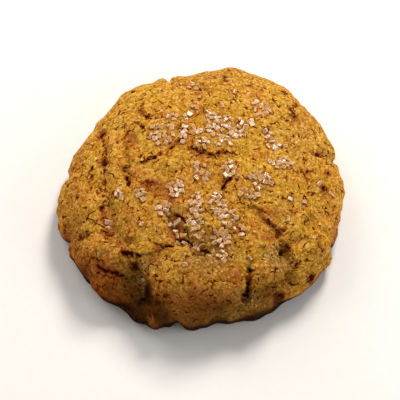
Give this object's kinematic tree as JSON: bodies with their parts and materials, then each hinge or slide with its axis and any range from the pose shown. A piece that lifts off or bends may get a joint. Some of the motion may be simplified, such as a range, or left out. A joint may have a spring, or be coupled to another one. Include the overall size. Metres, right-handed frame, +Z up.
{
  "type": "peanut butter cookie",
  "caption": "Thick round peanut butter cookie with a domed, fork-marked and cracked top, a craggy rim, a flat underside and coarse sugar crystals baked on.",
  "frame": {"origin": "on the flat underside, below the middle of the cookie's bounding box", "axes": "+Z up out of the domed top, -Y towards the cookie's front, with its large smooth lump, and +X to the right seen from the front"},
  "size_m": [0.0838, 0.0845, 0.0204],
  "materials": {
    "crust": "matt baked dough, golden brown with darker toasted patches and rim",
    "sugar": "clear to milky coarse sugar crystals"
  },
  "bodies": {
    "root": {"cookie": "crust"}
  },
  "joints": []
}
